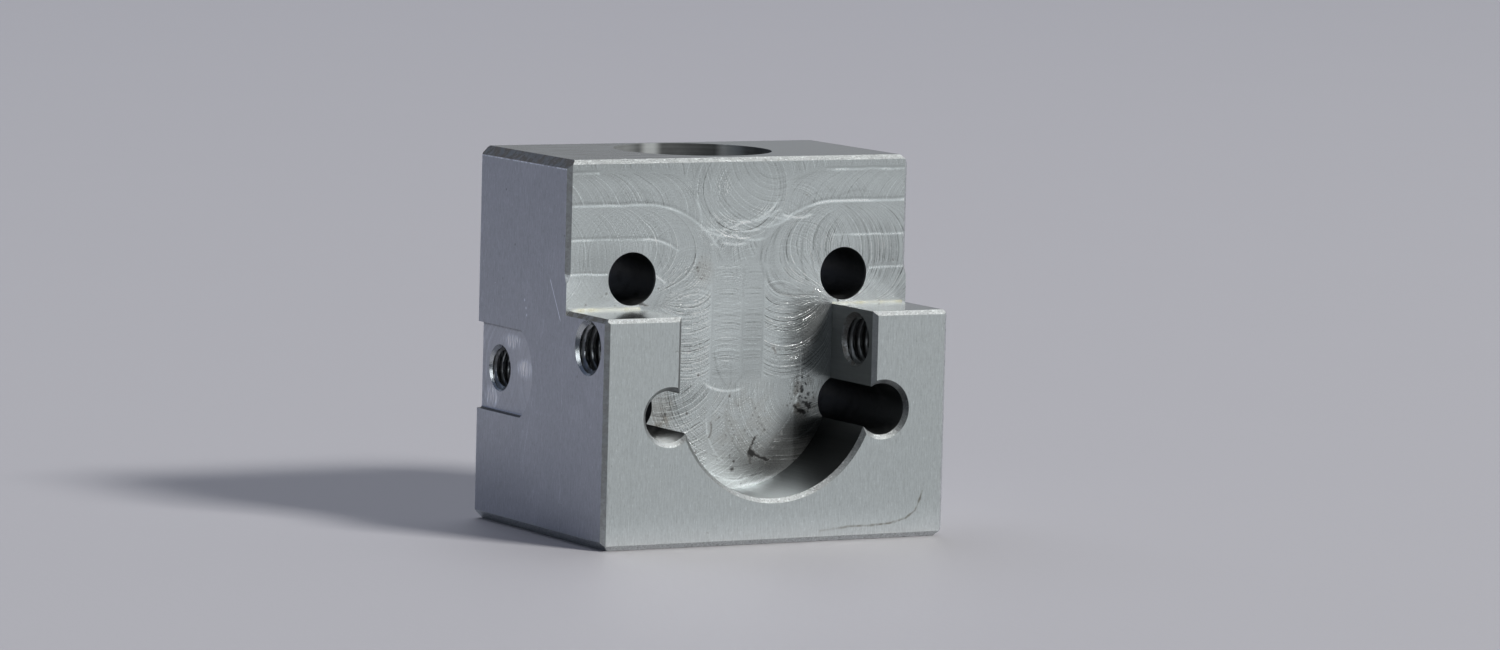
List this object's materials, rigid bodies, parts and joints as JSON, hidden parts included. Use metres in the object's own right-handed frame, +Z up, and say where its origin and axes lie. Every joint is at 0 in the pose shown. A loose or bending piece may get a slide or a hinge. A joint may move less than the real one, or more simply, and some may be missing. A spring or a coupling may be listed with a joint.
{
  "type": "machined mounting block",
  "caption": "One-piece machined block with a stepped front, a U slot between tapped lugs, cross holes and a vertical bore, for fixing a rod or bearing to a frame.",
  "frame": {"origin": "middle of the bottom face's bounding rectangle, on the surface the block stands on", "axes": "+X across the front towards the block's own right as seen from the front, +Y from the front with the lugs to the flat back, +Z up along the bore"},
  "size_m": [0.045, 0.032, 0.0438],
  "materials": {
    "metal": "milled and ground, bare"
  },
  "bodies": {
    "root": {"mounting_block": "metal"}
  },
  "joints": []
}
